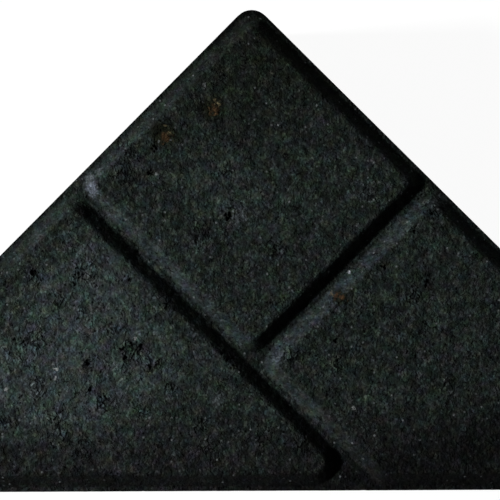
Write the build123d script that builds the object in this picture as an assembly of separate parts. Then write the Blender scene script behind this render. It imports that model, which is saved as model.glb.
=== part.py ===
from build123d import *
import math
import os

# Bishop's mitre paver: a five-sided edge unit, pressed from concrete in one piece, for paving of
# rectangular bricks laid in herringbone. Its two sloping sides fill the right-angled notch that the
# herringbone leaves along a straight edge, and dummy joints in its face divide it into a half brick
# and two cut bricks, each a raised field with a bevel all round.
# Millimetres. +Z up with the wearing face on top, apex towards +Y, origin under the middle of the plan.

# Driving dimensions
brick_width = 105.0  # laid width of one brick of the paving, joint included
slope_bricks = 2.0  # brick widths that each sloping side runs past
flank_length = 52.5  # short parallel sides, from the straight edge up to the shoulders
thickness = 80.0  # bed to wearing face
bevel_width = 5.4  # plan width of the bevel round a raised field
bevel_depth = 5.0  # drop from the wearing face to the floor of the dummy joints
joint_floor = 2.0  # width of the level floor of a dummy joint
ledge = 1.8  # level strip between the foot of the bevels and the outer wall
wall_corner_radius = 7.8  # plan radius of the outer wall's corners
field_corner_radius = 2.4  # plan radius of a field's corners, at the wearing face
sharp_corner_radius = 5.0  # the same at the sharp corner between the long joint and the straight edge
arris_radius = 0.8  # rounding of the arris between wearing face and bevel

# Sizes that follow
apex_angle = 90.0
half_apex = math.radians(apex_angle / 2)
slope_length = slope_bricks * brick_width
half_width = slope_length * math.sin(half_apex)
slope_rise = slope_length * math.cos(half_apex)
apex_rounding = wall_corner_radius * (1 / math.sin(half_apex) - 1)  # what the round tip loses
plan_depth = flank_length + slope_rise - apex_rounding
edge_y = -plan_depth / 2
shoulder_y = edge_y + flank_length
apex_y = shoulder_y + slope_rise
floor_z = thickness - bevel_depth


def mitre_plan():
    """The five-sided plan with sharp corners."""
    corners = [
        (-half_width, edge_y),
        (half_width, edge_y),
        (half_width, shoulder_y),
        (0, apex_y),
        (-half_width, shoulder_y),
    ]
    return Polygon(*corners, align=None)


def dummy_joint_floors():
    """The level floors of the two dummy joints, one brick width in from each sloping side."""
    at_apex = Pos(0, apex_y) * Rot(0, 0, -apex_angle / 2)  # X down the right slope, -Y down the left one
    long_run = (slope_rise + flank_length) / math.cos(half_apex)
    long_joint = Pos(long_run / 2, -brick_width) * Rectangle(long_run, joint_floor)
    short_joint = Pos(brick_width, -brick_width / 2) * Rectangle(joint_floor, brick_width)
    return at_apex * (long_joint + short_joint)


def field_plans():
    """The three fields at the foot of their bevels, inside the ledge, with the corners rounded."""
    inside_ledge = offset(mitre_plan(), -ledge, kind=Kind.INTERSECTION)
    fields = inside_ledge - dummy_joint_floors()
    left_field = fields.faces().sort_by(Axis.X)[0]
    sharp_corner = left_field.vertices().group_by(Axis.Y)[0].sort_by(Axis.X)[-1]
    blunt_corners = [corner for corner in fields.vertices() if corner.distance_to(sharp_corner) > 0]
    fields = fillet(blunt_corners, field_corner_radius + bevel_width)
    sharp_corner = fields.vertices().sort_by_distance(sharp_corner)[0]
    return fillet(sharp_corner, sharp_corner_radius + bevel_width).faces()


def raised_field(plan):
    """One field from the bed up to the wearing face, bevelled down to the joint floor all round."""
    field = extrude(plan, amount=thickness)
    wearing_face = field.faces().sort_by(Axis.Z)[-1]
    field = chamfer(wearing_face.edges(), bevel_width, bevel_depth, reference=wearing_face)
    wearing_face = field.faces().sort_by(Axis.Z)[-1]
    return fillet(wearing_face.edges(), arris_radius)


def paver():
    """The block up to the joint floor and the raised fields that stand out of it, as one solid."""
    block = extrude(fillet(mitre_plan().vertices(), wall_corner_radius), amount=floor_z)
    for plan in field_plans():
        block += raised_field(plan)
    return block


os.makedirs("parts", exist_ok=True)
export_step(paver(), "parts/paver.step")
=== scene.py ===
import math
import random

import bmesh
import bpy
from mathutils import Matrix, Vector, noise
from mathutils.bvhtree import BVHTree
from mathutils.kdtree import KDTree


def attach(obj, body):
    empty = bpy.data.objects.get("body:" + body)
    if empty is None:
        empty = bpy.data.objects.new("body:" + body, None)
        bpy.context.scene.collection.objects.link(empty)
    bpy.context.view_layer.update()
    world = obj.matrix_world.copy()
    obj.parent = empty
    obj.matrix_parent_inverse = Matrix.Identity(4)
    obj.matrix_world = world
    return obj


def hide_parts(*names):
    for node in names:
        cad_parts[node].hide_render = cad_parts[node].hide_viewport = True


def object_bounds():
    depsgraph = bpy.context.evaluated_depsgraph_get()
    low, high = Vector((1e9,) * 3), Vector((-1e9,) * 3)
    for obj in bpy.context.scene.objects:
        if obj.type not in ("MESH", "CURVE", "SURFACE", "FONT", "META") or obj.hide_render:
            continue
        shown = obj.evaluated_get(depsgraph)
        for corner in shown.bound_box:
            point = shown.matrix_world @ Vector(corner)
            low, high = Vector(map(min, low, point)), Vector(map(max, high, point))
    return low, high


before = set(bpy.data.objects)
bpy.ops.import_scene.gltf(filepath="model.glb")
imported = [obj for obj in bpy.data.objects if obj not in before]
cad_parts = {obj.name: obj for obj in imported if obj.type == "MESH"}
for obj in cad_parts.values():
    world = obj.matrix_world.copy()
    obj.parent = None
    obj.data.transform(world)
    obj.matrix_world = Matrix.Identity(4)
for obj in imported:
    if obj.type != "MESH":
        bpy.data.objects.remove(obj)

cadLow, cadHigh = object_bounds()  # the CAD box
scene = bpy.context.scene
scene.view_settings.view_transform = "Standard"
mm = 0.001
slant = math.sqrt(0.5)  # the bricks lie at 45 degrees to the straight edge


def addObject(name, bm):
    mesh = bpy.data.meshes.new(name)
    bm.to_mesh(mesh)
    bm.free()
    made = bpy.data.objects.new(name, mesh)
    scene.collection.objects.link(made)
    return made


# camera straight over the face

photoView = {
    "lensHeight": 0.680,  # above the floor
    "lens": 106.0,
    "clipStart": 0.01,
    "aim": (-1.1 * mm, 0.16 * mm),
    "roll": -0.25,  # degrees
}

cameraData = bpy.data.cameras.new("photoCamera")
cameraData.lens = photoView["lens"]
cameraData.clip_start = photoView["clipStart"]
camera = bpy.data.objects.new("photoCamera", cameraData)
camera.location = (*photoView["aim"], photoView["lensHeight"])
camera.rotation_euler.z = math.radians(photoView["roll"])
scene.collection.objects.link(camera)
scene.camera = camera
print("camera: over the wearing face")


# one soft lamp low on the left, and a faint sky

keyLamp = {
    "elevation": 33.5,
    "turn": 1,  # degrees round from the left, towards the apex
    "distance": 1.5,
    "size": 0.13,
    "level": 1.0,  # 1 lights a level face so that a colour renders as written
}
faintSky = {
    "tint": (0.94, 0.98, 1, 1),
    "level": 0.042,
}

lampRise, lampTurn = math.radians(keyLamp["elevation"]), math.radians(keyLamp["turn"])
toLamp = Vector((-math.cos(lampRise) * math.cos(lampTurn),
                 math.cos(lampRise) * math.sin(lampTurn),
                 math.sin(lampRise)))
lampData = bpy.data.lights.new("keyLamp", "AREA")
lampData.size = keyLamp["size"]
lampData.energy = keyLamp["level"] * math.pi ** 2 * keyLamp["distance"] ** 2 / math.sin(lampRise)
lamp = bpy.data.objects.new("keyLamp", lampData)
lamp.location = Vector((0, 0, cadHigh.z)) + toLamp * keyLamp["distance"]
lamp.rotation_euler = toLamp.to_track_quat("Z", "Y").to_euler()
lamp.visible_camera = False
scene.collection.objects.link(lamp)

sky = bpy.data.worlds.new("faintSky")
sky.use_nodes = True
skyInputs = sky.node_tree.nodes["Background"].inputs
skyInputs["Color"].default_value = faintSky["tint"]
skyInputs["Strength"].default_value = faintSky["level"]
scene.world = sky
print("light: key lamp and sky")


# a shader socket as a Python value

class Wire:
    def __init__(self, tree, socket=None):
        self.tree, self.socket = tree, socket

    def node(self, kind, settings={}, inputs={}, output=0):  # settings first, then values or links
        made = self.tree.nodes.new(kind)
        for name, value in settings.items():
            setattr(made, name, value)
        for name, value in inputs.items():
            if isinstance(value, Wire):
                self.tree.links.new(value.socket, made.inputs[name])
            elif made.inputs[name].type == "RGBA" and len(value) == 3:
                made.inputs[name].default_value = (*value, 1)
            else:
                made.inputs[name].default_value = value
        return None if output is None else Wire(self.tree, made.outputs[output])

    def maths(self, operation, a, b):
        return self.node("ShaderNodeMath", {"operation": operation}, {0: a, 1: b})

    def __add__(self, other): return self.maths("ADD", self, other)
    def __radd__(self, other): return self.maths("ADD", other, self)
    def __sub__(self, other): return self.maths("SUBTRACT", self, other)
    def __rsub__(self, other): return self.maths("SUBTRACT", other, self)
    def __mul__(self, other): return self.maths("MULTIPLY", self, other)
    def __rmul__(self, other): return self.maths("MULTIPLY", other, self)
    def __rpow__(self, other): return self.maths("POWER", other, self)

    def lesser(self, other): return self.maths("MINIMUM", self, other)
    def greater(self, other): return self.maths("MAXIMUM", self, other)

    def ramp(self, low, high):  # 0 below low, 1 above high, eased between
        return self.node("ShaderNodeMapRange", {"interpolation_type": "SMOOTHSTEP"},
                         {"Value": self, "From Min": low, "From Max": high})

    def away(self, point):  # distance from a point, metres
        return self.node("ShaderNodeVectorMath", {"operation": "DISTANCE"}, {0: self, 1: point}, "Value")

    def moved(self, offset):
        return self.node("ShaderNodeVectorMath", {"operation": "ADD"}, {0: self, 1: offset})

    def squeezed(self, factors):
        return self.node("ShaderNodeVectorMath", {"operation": "MULTIPLY"}, {0: self, 1: factors})

    def scaled(self, factors, offset):
        return self.node("ShaderNodeVectorMath", {"operation": "MULTIPLY_ADD"},
                         {0: self, 1: factors, 2: offset})

    def clouds(self, size, detail, rough, output="Fac"):  # size of a blotch, metres
        return self.node("ShaderNodeTexNoise", {}, {"Vector": self, "Scale": 1 / size, "Detail": detail,
                                                    "Roughness": rough}, output)

    def grains(self, size, output="Distance", feature="F1"):
        return self.node("ShaderNodeTexVoronoi", {"feature": feature},
                         {"Vector": self, "Scale": 1 / size}, output)

    def part(self, axis):
        return self.node("ShaderNodeSeparateXYZ", {}, {0: self}, axis)

    def under(self, top, amount=1.0, blend="MIX", base=None):  # another colour laid over this one
        return self.node("ShaderNodeMix", {"data_type": "RGBA", "blend_type": blend},
                         {0: amount, 6: self if base is None else base, 7: top}, 2)


def newMaterial(name):
    made = bpy.data.materials.new(name)
    made.use_nodes = True
    made.node_tree.nodes.clear()
    return made, Wire(made.node_tree)


# pale floor that turns up into a low wall

studioSweep = {
    "radius": 3.2,
    "segments": 96,
    "wallHeight": 1.3,
    "bend": 0.5,
    "bendSteps": 8,
    "white": 0.95,  # what the lens sees without the lamp
    "shadow": 0.07,  # how much of the shadow stays
    "bounce": 0.7,  # pale grey that lights the sides
}


def makeSweep():
    sweep = studioSweep
    bm = bmesh.new()
    bmesh.ops.create_circle(bm, cap_ends=True, radius=sweep["radius"], segments=sweep["segments"])
    rim = [edge for edge in bm.edges if edge.is_boundary]
    raised = bmesh.ops.extrude_edge_only(bm, edges=rim)["geom"]
    bmesh.ops.translate(bm, verts=[item for item in raised if isinstance(item, bmesh.types.BMVert)],
                        vec=(0, 0, sweep["wallHeight"]))
    bmesh.ops.bevel(bm, geom=rim, offset=sweep["bend"], affect="EDGES", segments=sweep["bendSteps"],
                    profile=0.5, material=-1)
    bmesh.ops.recalc_face_normals(bm, faces=bm.faces)
    made = addObject("studioSweep", bm)
    made.data.shade_smooth()
    paint, pen = newMaterial("paleStudio")
    rays = ("Is Camera Ray", "Is Glossy Ray", "Is Transmission Ray")
    seen = sum(pen.node("ShaderNodeLightPath", output=ray) for ray in rays).lesser(1)
    glow = pen.node("ShaderNodeEmission", {}, {"Color": (1, 1, 1), "Strength": sweep["white"]})
    shade = pen.node("ShaderNodeBsdfDiffuse", {}, {"Color": [sweep["shadow"]] * 3})
    shown = pen.node("ShaderNodeAddShader", {}, {0: glow, 1: shade})
    pale = pen.node("ShaderNodeBsdfDiffuse", {}, {"Color": [sweep["bounce"]] * 3})
    mixed = pen.node("ShaderNodeMixShader", {}, {0: seen, 1: pale, 2: shown})
    pen.node("ShaderNodeOutputMaterial", {}, {"Surface": mixed}, None)
    made.data.materials.append(paint)


makeSweep()
print("floor: pale sweep")


# charcoal concrete, pressed in a mould and then weathered, with painted light and shade in its colour

faceLayers = ("pressed", "pit", "rim", "slopeLightShadeAndLimeFilm", "torn")  # values that the mesh hands to the material
concreteLook = {
    "ground": (0.0139, 0.0187, 0.0167),
    # stains, painted light and painted shade with soft, drifting borders: "ragged" is how far the border drifts,
    # metres
    "drift": (22 * mm, 3, 0.6),  # blotch size, detail, roughness
    "grimeAndShade": {"tint": (0.0080, 0.0106, 0.0080), "strength": 0.9, "ragged": 0.06,  # olive grime and painted shade, darker round the apex
              "centre": (2 * mm, 95 * mm, 0), "radii": (0.015, 0.085)},
    "hazeAndLightPool": {"tint": (0.0302, 0.0398, 0.0388), "ragged": 0.05, "squeeze": 0.85,  # lime haze and a painted pool of light
             "places": ((-74, -47, 12, 46, 1.0), (-66, -15, 6, 29, 0.95), (-36, -45, 4, 24, 0.4),
                        (-8, 25, 3, 24, 0.32), (22, 38, 4, 24, 0.1))},  # x, y, radii in mm, strength
    "foot": {"tint": (0.0103, 0.0116, 0.0115), "strength": 0.85, "ragged": 0.03,  # darker along the straight edge: partly painted shade, partly the concrete's own tone
             "tilt": 0.06, "border": (-0.083, -0.062)},
    "lowerRightDarker": {"tint": (0.0050, 0.0056, 0.0055), "strength": 0.95, "ragged": 0.06,  # darker towards the lower right corner
             "lean": (0.6, 2), "border": (0.165, 0.22)},
    "hue": {"clouds": (4.2 * mm, 2, 0.5), "swing": (0.95, 0.8, 1.05), "least": (0.525, 0.6, 0.475)},
    # marks: tint, strength, then x, y and radius in mm
    "marks": {
        "halo": ((0.0050, 0.0058, 0.0028), 0.9, (
            (-35.8, 47.8, 8.5), (-16.5, 58.2, 7.5), (35.5, -19.5, 4.5))),
        "rust": ((0.031, 0.0182, 0.0086), 0.9, (
            (-35.3, 46.5, 2.7), (-15.5, 57.8, 2.6), (33.9, -18.6, 1.5), (36.2, -19.4, 1.3),
            (38.1, -20.3, 1.4))),
        "ochre": ((0.066, 0.057, 0.031), 0.9, (
            (-35.6, 51.2, 1.0), (-33.7, 47.7, 1.0), (-14.6, 60.6, 1.4), (-13.2, 59.4, 1.2),
            (32.5, -17.8, 1.0))),
        "bloom": ((0.040, 0.046, 0.049), 0.5, (
            (-67.0, 29.8, 3.6), (-65.6, 25.6, 3.6), (-63.2, 33.0, 2.4), (-67.0, -11.0, 5.5),
            (-54.7, -60.9, 4.5), (-89.0, -56.0, 5.5), (-13.9, -60.9, 3.5), (10.9, -45.0, 5.0),
            (76.6, 18.0, 5.0), (47.2, 23.1, 5.0), (-25.7, 5.6, 2.4))),
        "chalk": ((0.043, 0.050, 0.054), 0.7, (
            (-67.4, 30.6, 2.4), (-66.4, 27.5, 2.8), (-65.0, 24.4, 2.4), (-5.8, 13.6, 3.8),
            (-6.6, 12.8, 3.0), (-4.8, 14.6, 3.0), (-69.2, -14.4, 1.3), (-67.4, -10.0, 1.2),
            (-56.5, -46.3, 1.4))),
        "pebble": ((0.085, 0.092, 0.093), 0.8, (
            (-92.8, -28.1, 1.0), (-66.0, -7.1, 0.9), (-19.3, 67.4, 1.1), (10.4, 51.2, 0.9),
            (55.6, 20.1, 0.9), (75.4, 16.8, 0.8), (100.5, -20.6, 0.9), (-39.2, 31.0, 0.7))),
        "quartz": ((0.16, 0.17, 0.168), 0.9, (
            (-48.1, -35.6, 0.9), (-80.4, -48.0, 1.0), (-80.6, -51.4, 0.9), (-100.9, -56.5, 0.9),
            (39.7, -9.1, 0.7), (40.8, -64.3, 0.9))),
    },
    "markCore": 0.3,  # share of a mark's radius before it fades
    "markRagged": 0.008,
    "sand": {"tint": (0.11, 0.12, 0.123), "strength": 0.7, "radii": (0.08, 0.28), "chosen": (0.76, 1.0)},
    # clouds: blotch size, detail, roughness, and where in the pattern it is taken from
    "clouds": {
        "ragged": (1.3 * mm, 3, 0.5, (0, 0, 0)),
        "fine": (0.8 * mm, 3, 0.6, (0, 0, 0)),
        "middle": (2.4 * mm, 2, 0.5, (4, 1, 7)),
        "coarse": (7 * mm, 2, 0.5, (1, 5, 2)),
        "patch": (10 * mm, 3, 0.6, (9, 4, 3)),
        "crackPlaces": (5 * mm, 2, 0.5, (2, 8, 1)),
        "tornPlaces": (2.2 * mm, 2, 0.5, (6, 2, 9)),
        "porePlaces": (3 * mm, 2, 0.5, (8, 1, 2)),
    },
    # grains: size, and where in the pattern it is taken from
    "grains": {
        "cell": (1.35 * mm, (0, 0, 0)),
        "stone": (2.3 * mm, (5, 5, 5)),
        "seam": (2.8 * mm, (3, 3, 6)),
        "pore": (2.1 * mm, (8, 1, 2)),
        "sand": (2.3 * mm, (7, 2, 4)),
    },
    "warp": {"clouds": (1.7 * mm, 2, 0.5), "reach": 1.6 * mm},  # bends the grains out of shape
    # holes between the grains: how far they reach from a seam or a point, and where the clouds let them in
    "crack": {"reach": (0.01, 0.08), "places": (0.56, 0.7)},
    "tornCrack": {"reach": (0.03, 0.17), "places": (0.4, 0.5)},
    "pore": {"reach": (0.1, 0.3), "places": (0.5, 0.58)},
    # tone: how far each layer swings it, as powers of e, and what share each hole takes away as painted shade
    "swing": {"fine": 3.1, "middle": 0.9, "coarse": 1.3, "cell": 0.9, "stone": 0.4},
    "swingAll": 1.1,
    "swingLost": {"hazinessAndLight": 0.3, "pressed": 0.15},
    "tornSwing": 0.9,
    "tornStone": 0.2,  # in torn places the stones above this tone come out paler
    "toneDrop": 0.11,
    "holes": {"crack": 0.8, "pore": 0.75, "pit": 0.45, "rim": 0.8},
    # bluish tint of a lime film and of painted sheen on slopes that face the lamp
    "bluishFilmAndSheenTint": (1, 0.98, 1.14),
    "filmAndSheenFull": 4,  # the bluish tint of lime film and painted sheen is full at a quarter of the slope value
    # relief too fine for the mesh, as shares of the bump height
    "bumpHeight": 0.6 * mm,
    "cellRelief": (0.2, 0.8),  # least, and what a pale grain adds
    "stoneRelief": 0.5,
    "fineRelief": 1.2,
    "middleRelief": 0.2,
    "holeRelief": 0.9,
    "pressedRelief": 0.35,  # lost on moulded slopes
    "patchPlaces": (0.36, 0.64),
    "patchRelief": (0.7, 0.8, 0.9),  # least, and what rough patches and torn places add
    "roughness": (0.78, 0.2),  # least, and what the fine clouds add
    "shine": 0.04,
}


def stainsLightAndShade(pen, here, look):  # slow changes over the face: stains, painted light and painted shade
    plan = here.squeezed((1, 1, 0))
    drift = plan.clouds(*look["drift"]) - 0.5
    grimeAndShade, hazeAndLightPool, foot, lowerRightDarker = (look[name] for name in ("grimeAndShade", "hazeAndLightPool", "foot", "lowerRightDarker"))
    # olive grime and painted shade round the apex
    far = plan.away(grimeAndShade["centre"]) + drift * grimeAndShade["ragged"]
    colour = pen.under(grimeAndShade["tint"], grimeAndShade["strength"] - grimeAndShade["strength"] * far.ramp(*grimeAndShade["radii"]),
                       base=look["ground"])
    # lime haze and painted pools of light, paler on the left field and the square
    hazinessAndLight = 0
    squeeze = hazeAndLightPool["squeeze"]
    for x, y, inner, outer, strength in hazeAndLightPool["places"]:
        far = plan.squeezed((squeeze, 1, 1)).away((x * squeeze * mm, y * mm, 0)) + drift * hazeAndLightPool["ragged"]
        amount = strength - strength * far.ramp(inner * mm, outer * mm)
        hazinessAndLight = amount.greater(hazinessAndLight)
        colour = colour.under(hazeAndLightPool["tint"], amount)
    # darker along the straight edge: partly painted shade
    rise = here.part("Y") - here.part("X") * foot["tilt"] + drift * foot["ragged"]
    colour = colour.under(foot["tint"], foot["strength"] - foot["strength"] * rise.ramp(*foot["border"]))
    # darker towards the lower right corner
    across, down = lowerRightDarker["lean"]
    corner = here.part("X") * across - here.part("Y") * down + drift * lowerRightDarker["ragged"]
    colour = colour.under(lowerRightDarker["tint"], corner.ramp(*lowerRightDarker["border"]) * lowerRightDarker["strength"])
    hue = here.clouds(*look["hue"]["clouds"], "Color").scaled(look["hue"]["swing"], look["hue"]["least"])
    return colour.under(hue, 1.0, "MULTIPLY"), hazinessAndLight


def addMarks(colour, here, ragged, look):
    plan = here.squeezed((1, 1, 0))
    ragged = (ragged - 0.5) * look["markRagged"]
    for tint, strength, places in look["marks"].values():
        for x, y, radius in places:
            near = plan.away((x * mm, y * mm, 0)) + ragged * min(1, radius / 2)
            fade = near.ramp(radius * look["markCore"] * mm, radius * mm)
            colour = colour.under(tint, strength - strength * fade)
    return colour


def makeConcrete():
    look = concreteLook
    paint, pen = newMaterial("charcoalConcrete")
    here = pen.node("ShaderNodeTexCoord", output="Object")
    pressed, pit, rim, slopeLightShadeAndLimeFilm, torn = (pen.node("ShaderNodeAttribute", {"attribute_name": name}, output="Fac")
                                     for name in faceLayers)
    cloud = {name: here.moved(shift).clouds(size, detail, rough)
             for name, (size, detail, rough, shift) in look["clouds"].items()}
    colour, hazinessAndLight = stainsLightAndShade(pen, here, look)
    colour = addMarks(colour, here, cloud["ragged"], look)
    # grains, with a tone of their own, and what lies between them
    warped = here.clouds(*look["warp"]["clouds"], "Color").scaled([look["warp"]["reach"]] * 3, here)

    def grain(name, output="Distance", feature="F1", base=warped):
        size, shift = look["grains"][name]
        return base.moved(shift).grains(size, output, feature)

    cells, cellTone = grain("cell"), grain("cell", "Color").part("X")
    stones, stoneTone = grain("stone"), grain("stone", "Color").part("X")
    seams = grain("seam", feature="DISTANCE_TO_EDGE")
    crack, tornCrack, pore = look["crack"], look["tornCrack"], look["pore"]
    cracks = (1 - seams.ramp(*crack["reach"])) * cloud["crackPlaces"].ramp(*crack["places"])
    tornCracks = (1 - seams.ramp(*tornCrack["reach"])) * torn * cloud["tornPlaces"].ramp(*tornCrack["places"])
    cracks = cracks.greater(tornCracks)
    pores = (1 - grain("pore").ramp(*pore["reach"])) * cloud["porePlaces"].ramp(*pore["places"])
    # tone that changes from grain to grain
    toned = {"fine": cloud["fine"], "middle": cloud["middle"], "coarse": cloud["coarse"],
             "cell": cellTone, "stone": stoneTone}
    mottle = sum((toned[name] - 0.5) * swing for name, swing in look["swing"].items())
    lost = look["swingLost"]
    mottle = mottle * (look["swingAll"] - hazinessAndLight * lost["hazinessAndLight"]) * (1 - pressed * lost["pressed"])
    mottle = mottle + torn * (stoneTone - look["tornStone"]) * look["tornSwing"] - look["toneDrop"]
    tone = 2.718 ** mottle
    # cracks, pores, pits and hollows, and the outer rim, are darkened: painted shade
    for name, hole in (("crack", cracks), ("pore", pores), ("pit", pit), ("rim", rim)):
        tone = tone * (1 - hole * look["holes"][name])
    # paler or darker slopes and ledges: painted light and shade, partly a lime film
    tone = tone * (1 + slopeLightShadeAndLimeFilm)
    colour = colour.under(tone, 1.0, "MULTIPLY")
    # bluish tint of a lime film and painted sheen where the slopes face the lamp
    colour = colour.under(look["bluishFilmAndSheenTint"], slopeLightShadeAndLimeFilm * look["filmAndSheenFull"], "MULTIPLY")
    # single pale grains of sand
    sand = look["sand"]
    speck = 1 - grain("sand", base=here).ramp(*sand["radii"])
    chosen = grain("sand", "Color", base=here).part("X").ramp(*sand["chosen"])
    colour = colour.under(sand["tint"], speck * chosen * sand["strength"])
    # relief too fine for the mesh
    leastCell, addedCell = look["cellRelief"]
    height = (1 - cells * cells) * (leastCell + cellTone * addedCell)
    height = height + (1 - stones * stones) * stoneTone * look["stoneRelief"]
    height = height + cloud["fine"] * look["fineRelief"] + cloud["middle"] * look["middleRelief"]
    height = height - cracks * look["holeRelief"] - pores * look["holeRelief"]
    leastRelief, patchRelief, tornRelief = look["patchRelief"]
    patch = cloud["patch"].ramp(*look["patchPlaces"])
    height = height * (1 - pressed * look["pressedRelief"])
    height = height * (leastRelief + patch * patchRelief + torn * tornRelief)
    bump = pen.node("ShaderNodeBump", {}, {"Strength": 1.0, "Distance": look["bumpHeight"], "Height": height})
    leastRough, addedRough = look["roughness"]
    shader = pen.node("ShaderNodeBsdfPrincipled", {}, {
        "Base Color": colour, "Roughness": leastRough + cloud["fine"] * addedRough,
        "Specular IOR Level": look["shine"], "Normal": bump})
    pen.node("ShaderNodeOutputMaterial", {}, {"Surface": shader}, None)
    return paint


# the block: a fine grid laid on the CAD face, cut to the plan and drawn down to the bed
# places on the face are also told by u, down the right slope from the apex, and v, down the left one

paverShape = {
    "brick": 105 * mm,  # laid width of one brick
    "flank": 52.5 * mm,
    "bevel": 5.4 * mm,
    "bevelDepth": 5 * mm,
    "jointFloor": 2 * mm,
    "ledge": 1.8 * mm,
    "cornerRadius": 7.8 * mm,
    "cornerCut": 11.25,  # degrees that one cut of a corner takes
    "cornerInset": 0.03 * mm,  # keeps the cuts inside the CAD corner
    "cornerReach": 14 * mm,  # faces this near to a corner's centre are cut
    "lineReach": 2 * mm,  # and this near to a moulded line
    "step": 0.73 * mm,  # grid of the face
    "snap": 0.01 * mm,
    "weld": 0.12 * mm,
    "levelZ": 0.95,  # a normal that points up more than this is level
    # relief of the face
    "soften": 0.25 * mm,  # wear of the arrises
    "wander": 0.1 * mm,  # of the moulded lines
    "fullSlope": 0.2,  # how far a normal leans, as 1 - z, where a slope counts in full
    "crownCalm": 1.4 * mm,  # the relief dies down this near to a moulded line
    "calm": {"slope": 0.4, "line": 0.7, "base": 0.95, "swing": 0.9, "torn": 0.5},
    "sink": 0.22 * mm,  # leaves the relief room under the CAD face
    "clear": 0.02 * mm,  # nothing comes nearer to it than this
    "borderDrop": 0.3 * mm,  # the border of the face stays this near to the ledge
    "swell": 0.16 * mm,
    "lump": 0.2 * mm,
    "grain": 0.24 * mm,
    "hollow": 0.9 * mm,
    "hollowFrom": 0.28,
    "hollowShade": 1.6,
    "sizes": {"wander": 7 * mm, "rough": 3 * mm, "calm": 11 * mm, "hollow": 3.3 * mm, "swell": 26 * mm,
              "lump": 4.6 * mm, "grain": 2.2 * mm},
    # pits: x, y, radius in mm
    "pits": ((-71.2, -9.5, 1.3), (-72.1, -13.3, 0.9), (-89.9, -8.7, 1.2), (-50.1, -11.7, 0.7), (-93.2, -38.5, 1.1),
             (-97, -36.1, 0.8), (-85.9, -34.4, 0.8), (-49.8, -37.8, 0.9), (-53, -40, 1.1), (-52.4, -42.7, 1),
             (-49.2, -42.5, 1), (-45.4, -39.8, 1.2), (-42.3, -47.1, 0.8), (-67, -45.9, 1.2), (-70, -41.8, 0.8),
             (-66.6, -56.3, 1.1), (-61.1, -59.1, 0.9), (-35.2, -22.2, 0.9), (-39.5, 41.9, 1), (-41.5, 31.9, 1.2),
             (-11.2, 71.5, 0.9), (-9.8, 13.6, 1.8), (71.6, -13.5, 1.3), (53.7, -7.3, 1.1), (66, 7.7, 0.9),
             (74.2, 14.2, 1), (34.8, -43.9, 1), (33.6, -36.6, 1), (-10.1, -44.5, 1), (-12.1, -41.2, 0.9),
             (-8, -47.8, 0.9)),
    "pitMargin": 0.9,  # the finer grid reaches this far past a pit, mm
    "pitHoles": {"count": 6, "radii": (0.35, 0.7), "spread": (0.6, 0.7), "depth": 0.95},  # shares of the radius
    "pitRagged": {"swing": 0.5, "size": 0.8, "reach": 1.5, "steep": 3},
    # rough patches, the same
    "torn": ((-49, -41, 6), (-40, -46, 3), (-60, -62, 5), (-45, -65, 4), (-80, -68, 5), (-22, -71, 4),
             (-70, -82, 4), (-34, -56, 3), (-69, -9, 6), (-90, -10, 4), (-35, -22, 4), (-54, 32, 6),
             (-51, 42, 5), (-9, 15, 4), (47, 23, 5), (15, -43, 5), (76, 16, 3), (33, -47, 4), (79, -54, 5),
             (-69, -25, 4), (-89, -56, 5), (-98, -43, 4), (4, -77, 4), (20, -79, 4), (-11, 33, 4), (-21, 6, 5),
             (10, 0, 4), (65, -20, 4), (-100, -69, 4), (-77, -76, 4), (-69, -78, 4), (-19, -80, 4),
             (-89, -36, 6), (-67, -46, 3), (-58, -32, 4), (-79, -20, 4)),
    "tornCore": 2,
    "tornRagged": 1.5,
    # scattered holes: how many, radius in mm, depth as a share of the radius
    "smallPits": (220, (0.5, 0.95), (0.3, 0.6)),
    "clusters": (30, (0.5, 1.05), (0.4, 0.7)),
    "clusterHoles": (2, 5),
    "clusterSpread": 1.8,  # mm
    "chips": (60, (0.6, 1.2), (0.2, 0.4)),
    "chipSlopes": (0.25, 0.7),  # chips come where the face starts to slope
    "chipDrop": 1.2 * mm,  # and no lower than this
    "seed": 11,
    # walls
    "wallRows": (0.6, 2.5, 7, 14, 23, 33, 43, 53, 63, 70, 74.4, 75),  # mm below the ledge
    "wallInset": 0.16 * mm,
    "leastInset": 0.03 * mm,
    "drag": 0.12 * mm,  # marks drawn by the mould
    "dragSize": (2.4 * mm, 2.4 * mm, 60 * mm),
    "wallSwell": 0.16 * mm,
    "wallSwellSize": 22 * mm,
    "bedArris": 0.7 * mm,
    "bedArrisSlope": 0.8,
    "smoothAngle": 50,  # degrees
}


def gridLines(reach):  # rows across the bricks, pulled onto the moulded lines
    shape = paverShape
    foot, crown, joint = shape["ledge"], shape["ledge"] + shape["bevel"], shape["jointFloor"] / 2
    brick, bevel = shape["brick"], shape["bevel"]
    lines = [0, foot, crown, brick - joint - bevel, brick - joint, brick + joint, brick + joint + bevel, reach]
    rows = [0]
    for low, high in zip(lines, lines[1:]):
        count = max(2, round((high - low) / shape["step"]))
        rows += [low + (high - low) * (i + 1) / count for i in range(count)]
    return rows


def cutFace(bm, point, outward, near=None, drop=True):
    if near is None:
        near = bm.verts[:] + bm.edges[:] + bm.faces[:]
    cut = bmesh.ops.bisect_plane(bm, geom=near, dist=paverShape["snap"], plane_co=(*point, 0),
                                 plane_no=(*outward, 0), clear_outer=drop)
    return [item for item in cut["geom"] if item.is_valid]


def once(items):  # each item once and in the same order every run, which a set doesn't promise
    return list(dict.fromkeys(items))


def facesNear(bm, test):
    faces = [face for face in bm.faces if test(face.verts[0].co)]
    edges = once(edge for face in faces for edge in face.edges)
    return [*once(vert for face in faces for vert in face.verts), *edges, *faces]


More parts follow.
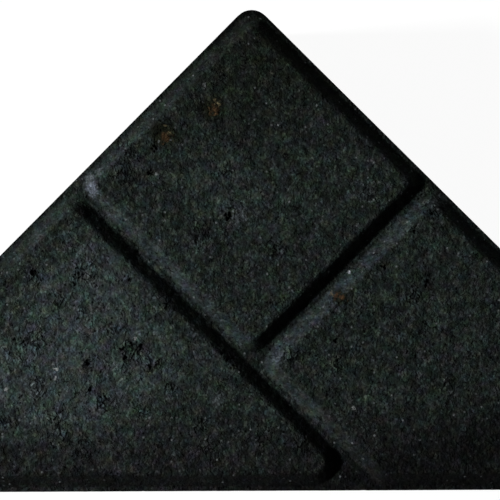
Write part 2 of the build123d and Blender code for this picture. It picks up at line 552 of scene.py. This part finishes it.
def planTree(bm):  # points of the face by place, listed in the same order every run
    verts = sorted(bm.verts, key=lambda vert: (round(vert.co.x, 5), round(vert.co.y, 5)))
    plan = KDTree(len(verts))
    for index, vert in enumerate(verts):
        plan.insert((vert.co.x, vert.co.y, 0), index)
    plan.balance()
    return plan, verts


def roundCorners(bm, halfWidth, edgeY, apexY):
    shape = paverShape
    radius, cutAngle = shape["cornerRadius"], shape["cornerCut"]
    shoulderY = edgeY + shape["flank"]
    drop = radius * math.tan(math.radians(22.5))  # from a shoulder to the centre of its round
    rounds = [((0, apexY - radius / slant), 45, 135)]  # centre, first and last direction
    for sideX, shoulderFirst, footFirst in ((1, 0, 270), (-1, 135, 180)):
        rounds.append(((sideX * (halfWidth - radius), shoulderY - drop), shoulderFirst, shoulderFirst + 45))
        rounds.append(((sideX * (halfWidth - radius), edgeY + radius), footFirst, footFirst + 90))
    reach = radius * math.cos(math.radians(cutAngle / 2)) - shape["cornerInset"]
    for centre, first, final in rounds:
        count = round((final - first) / cutAngle)
        near = facesNear(bm, lambda co: (co.xy - Vector(centre)).length < shape["cornerReach"])
        for i in range(count):
            angle = math.radians(first + (final - first) * (i + 0.5) / count)
            out = Vector((math.cos(angle), math.sin(angle)))
            near = cutFace(bm, Vector(centre) + out * reach, out, near)


def makePlan():
    shape = paverShape
    halfWidth, edgeY = cadHigh.x, cadLow.y
    apexY = edgeY + shape["flank"] + halfWidth  # where the slopes meet without the rounding
    rows = gridLines((apexY - edgeY + halfWidth) * slant + mm)
    last = len(rows) - 1
    bm = bmesh.new()
    bmesh.ops.create_grid(bm, x_segments=last, y_segments=last, size=0.5)
    for vert in bm.verts:
        v, u = rows[round((vert.co.x + 0.5) * last)], rows[round((vert.co.y + 0.5) * last)]
        vert.co = ((u - v) * slant, apexY - (u + v) * slant, 0)
    cutFace(bm, (0, edgeY), (0, -1))
    cutFace(bm, (-halfWidth, 0), (-1, 0))
    cutFace(bm, (halfWidth, 0), (1, 0))
    roundCorners(bm, halfWidth, edgeY, apexY)
    # foot and crown of the bevels that run across the grid
    for line in (shape["ledge"], shape["ledge"] + shape["bevel"]):
        near = facesNear(bm, lambda co: abs(co.y - edgeY - line) < shape["lineReach"])
        cutFace(bm, (0, edgeY + line), (0, 1), near, False)
        for sideX in (1, -1):
            place = sideX * (halfWidth - line)
            near = facesNear(bm, lambda co: abs(co.x - place) < shape["lineReach"])
            cutFace(bm, (place, 0), (1, 0), near, False)
    bmesh.ops.remove_doubles(bm, verts=bm.verts, dist=shape["weld"])
    # finer grid where the larger pits come
    plan, verts = planTree(bm)
    edges = once(edge for x, y, radius in shape["pits"]
                 for place, index, away in plan.find_range((x * mm, y * mm, 0), (radius + shape["pitMargin"]) * mm)
                 for edge in verts[index].link_edges)
    bmesh.ops.subdivide_edges(bm, edges=edges, cuts=2, use_grid_fill=True)
    return bm


# how much paler, or below 0 darker, each moulded slope and ledge is painted: painted light and shade, partly a
# lime film

slopeTint = {
    "squareByLongJoint": 0.42,
    "rightFieldByLongJoint": 0.2,
    "rightFieldByShortJoint": (0.5, 0.3),  # at the foot, and what is added up to the crown
    "leftSlopeSquare": -0.25,
    "leftSlopeField": -0.52,
    "leftSlopeApex": -0.5,
    "leftSlopeRise": 0.8,  # up to the crown
    "apexReach": 25 * mm,
    "shadeRightLedge": 0.7,  # painted shade on the ledge by the right slope, also on the ledge round the apex
    "otherFlatsDarker": 0.18,  # darker on the other ledges and the joint floors
    "shadeTowardsEdge": 0.75,  # painted shade on slopes that face the straight edge
    # painted shade on slopes that face away from the lamp
    "shadeTowardsRight": 0.7,
}


def wallTint(normal, up, u, v):  # up runs from 0 at the foot of a slope to 1 at its crown
    tints, brick, ledge = slopeTint, paverShape["brick"], paverShape["ledge"]
    # slopes that face the lamp are painted paler or darker in step with how far they face it: painted light,
    # partly a lime film
    lit = max(0, -normal.x)
    if normal.y < 0:
        tint = lit * tints["squareByLongJoint" if u < brick else "rightFieldByLongJoint"]
    elif u > brick / 2:
        foot, rise = tints["rightFieldByShortJoint"]
        tint = lit * (foot + rise * up)
    else:
        foot = tints["leftSlopeSquare" if v < brick else "leftSlopeField"]
        foot += tints["leftSlopeApex"] if v < tints["apexReach"] else 0
        tint = lit * (foot + tints["leftSlopeRise"] * up)
    # ledges and joint floors are darkened, the ledge by the right slope and round the apex with painted shade
    if up < 0.1 and normal.z > paverShape["levelZ"]:
        tint -= tints["shadeRightLedge" if v < ledge or u + v < tints["apexReach"] else "otherFlatsDarker"]
    # painted shade on slopes that face the straight edge and on slopes that face away from the lamp
    return tint - tints["shadeTowardsEdge"] * max(0, -normal.y - lit) - tints["shadeTowardsRight"] * max(0, normal.x)


def bumps(place, size, layer=0):  # smooth noise, another pattern for each layer
    return noise.noise(place / size + Vector((0, 0, layer)))


def pressRelief(bm, layers):
    shape, sizes, quiet = paverShape, paverShape["sizes"], paverShape["calm"]
    noise.seed_set(shape["seed"])  # or noise_vector would take its start from the clock
    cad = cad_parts["paver"].data
    skin = BVHTree.FromPolygons([vert.co for vert in cad.vertices], [face.vertices for face in cad.polygons])
    floorZ = cadHigh.z - shape["bevelDepth"]
    apexY = cadLow.y + shape["flank"] + cadHigh.x
    down, above = Vector((0, 0, -1)), Vector((0, 0, 1))
    cross = ((0, 0), (1, 0), (-1, 0), (0, 1), (0, -1))
    offsets = [Vector((x * shape["soften"], y * shape["soften"], 1)) for x, y in cross]
    turns = [i * math.pi / 4 for i in range(8)]
    ring = [Vector((math.cos(turn), math.sin(turn), 0)) * shape["crownCalm"] for turn in turns]
    for vert in bm.verts:
        place = vert.co.copy()
        u, v = (apexY - place.y + place.x) * slant, (apexY - place.y - place.x) * slant
        start = place + noise.noise_vector(place / sizes["wander"]) * shape["wander"]
        start.z = 0
        height = slope = tint = 0
        for offset in offsets:
            hit, normal, face, far = skin.ray_cast(start + offset, down)
            height += (hit.z if hit else floorZ) / len(offsets)
            if hit:
                slope += (1 - normal.z) / len(offsets)
                tint += wallTint(normal, (hit.z - floorZ) / shape["bevelDepth"], u, v) / len(offsets)
        sloping = 0
        for offset in ring:
            hit, normal, face, far = skin.ray_cast(start + offset + above, down)
            sloping += 1 / len(ring) if hit and normal.z < shape["levelZ"] else 0
        bevel = min(1, slope / shape["fullSlope"])
        rough = max(1 - (place.xy - Vector((x * mm, y * mm))).length / (radius * mm)
                    for x, y, radius in shape["torn"])
        rough = rough * shape["tornCore"] + shape["tornRagged"] * bumps(place, sizes["rough"], 5)
        rough = min(1, max(0, rough))
        # the tint carries painted light and shade of the slopes and ledges, partly a lime film
        vert[layers["pressed"]], vert[layers["slopeLightShadeAndLimeFilm"]], vert[layers["torn"]] = bevel, tint, rough
        # moulded slopes and lines came out smoother, rough patches rougher
        calm = (1 - quiet["slope"] * bevel) * (1 - quiet["line"] * 4 * sloping * (1 - sloping))
        calm *= quiet["base"] + quiet["swing"] * bumps(place, sizes["calm"], 7) + quiet["torn"] * rough
        hollow = max(0, bumps(place, sizes["hollow"], 4) - shape["hollowFrom"])
        relief = (shape["swell"] * bumps(place, sizes["swell"]) + calm * (
            shape["lump"] * bumps(place, sizes["lump"], 9)
            + shape["grain"] * bumps(place, sizes["grain"], 2) - shape["hollow"] * hollow))
        vert[layers["pit"]] = min(1, hollow * shape["hollowShade"] * calm)
        vert.co.z = height - shape["sink"] + relief
    return floorZ


def scatterPits(bm, layers, floorZ):
    shape = paverShape
    dice = random.Random(shape["seed"])
    plan, verts = planTree(bm)
    pits = []
    holes, edge = shape["pitHoles"], shape["pitRagged"]
    spreadX, spreadY = holes["spread"]
    for x, y, radius in shape["pits"]:  # each a few holes that run together
        for i in range(holes["count"]):
            small = radius * dice.uniform(*holes["radii"]) * mm
            holeX, holeY = x + dice.gauss(0, spreadX * radius), y + dice.gauss(0, spreadY * radius)
            pits.append((holeX * mm, holeY * mm, small, small * holes["depth"]))
    count, radii, depths = shape["smallPits"]
    for spot in dice.sample(verts, count):
        radius = dice.uniform(*radii) * mm
        pits.append((spot.co.x, spot.co.y, radius, radius * dice.uniform(*depths)))
    count, radii, depths = shape["clusters"]
    spread = shape["clusterSpread"]
    for spot in dice.sample(verts, count):
        for i in range(dice.randint(*shape["clusterHoles"])):
            radius = dice.uniform(*radii) * mm
            pits.append((spot.co.x + dice.gauss(0, spread) * mm, spot.co.y + dice.gauss(0, spread) * mm,
                         radius, radius * dice.uniform(*depths)))
    least, most = shape["chipSlopes"]
    crowns = [vert for vert in verts
              if least < vert[layers["pressed"]] < most and vert.co.z > cadHigh.z - shape["chipDrop"]]
    count, radii, depths = shape["chips"]
    for spot in dice.sample(crowns, count):
        radius = dice.uniform(*radii) * mm
        pits.append((spot.co.x, spot.co.y, radius, radius * dice.uniform(*depths)))
    for x, y, radius, depth in pits:
        for place, index, away in plan.find_range((x, y, 0), radius * edge["reach"]):
            ragged = 1 + edge["swing"] * bumps(place, edge["size"] * radius, x * 900)  # its own pattern
            deep = 1 - (away / (radius * ragged)) ** edge["steep"]
            if deep > 0:
                verts[index].co.z -= depth * deep
                # a pit's depth also darkens its colour: painted shade
                verts[index][layers["pit"]] = max(verts[index][layers["pit"]], deep)
    for vert in verts:  # stays under the CAD face, and near the ledge at the border
        vert.co.z = min(vert.co.z, cadHigh.z - shape["clear"])
        if vert.is_boundary:
            vert.co.z = max(vert.co.z, floorZ - shape["borderDrop"])


def drawWalls(bm, layers, floorZ):
    shape = paverShape
    ring = [edge for edge in bm.edges if edge.is_boundary]
    # the outer rim of the face is marked to be darkened: painted shade
    for vert in once(vert for edge in ring for vert in edge.verts):
        vert[layers["rim"]] = 1
    wallValues = {"pressed": 0.5, "pit": 0, "rim": 0, "slopeLightShadeAndLimeFilm": 0, "torn": 0}
    walls = []
    for depth in shape["wallRows"]:
        made = bmesh.ops.extrude_edge_only(bm, edges=ring)["geom"]
        ring = [item for item in made if isinstance(item, bmesh.types.BMEdge) and item.is_boundary]
        for vert in once(vert for edge in ring for vert in edge.verts):
            vert.co.z = floorZ - depth * mm
            for name, value in wallValues.items():
                vert[layers[name]] = value
            walls.append(vert)
    bmesh.ops.edgeloop_fill(bm, edges=ring)
    bmesh.ops.recalc_face_normals(bm, faces=bm.faces)
    bm.normal_update()
    dragX, dragY, dragZ = shape["dragSize"]
    moves = []
    for vert in walls:  # drag marks and swell, only ever inwards
        place = vert.co
        out = Vector((vert.normal.x, vert.normal.y, 0)).normalized()
        drag = shape["drag"] * noise.noise(Vector((place.x / dragX, place.y / dragY, place.z / dragZ)))
        swell = shape["wallSwell"] * bumps(place, shape["wallSwellSize"])
        arris = max(0, shape["bedArris"] - place.z) * shape["bedArrisSlope"]
        moves.append(out * -max(shape["leastInset"], shape["wallInset"] + drag + swell + arris))
    for vert, move in zip(walls, moves):
        vert.co += move


def makePaver():
    bm = makePlan()
    print("paver: plan cut,", len(bm.verts), "points")
    layers = {name: bm.verts.layers.float.new(name) for name in faceLayers}
    floorZ = pressRelief(bm, layers)
    print("paver: face pressed")
    scatterPits(bm, layers, floorZ)
    print("paver: pits and chips")
    drawWalls(bm, layers, floorZ)
    triangles = sum(len(face.verts) - 2 for face in bm.faces)
    made = addObject("paverBlock", bm)
    made.data.shade_smooth()
    made.data.set_sharp_from_angle(angle=math.radians(paverShape["smoothAngle"]))
    made.data.materials.append(makeConcrete())
    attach(made, "root")
    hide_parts("paver")
    print("paver: walls drawn,", triangles, "triangles")


makePaver()
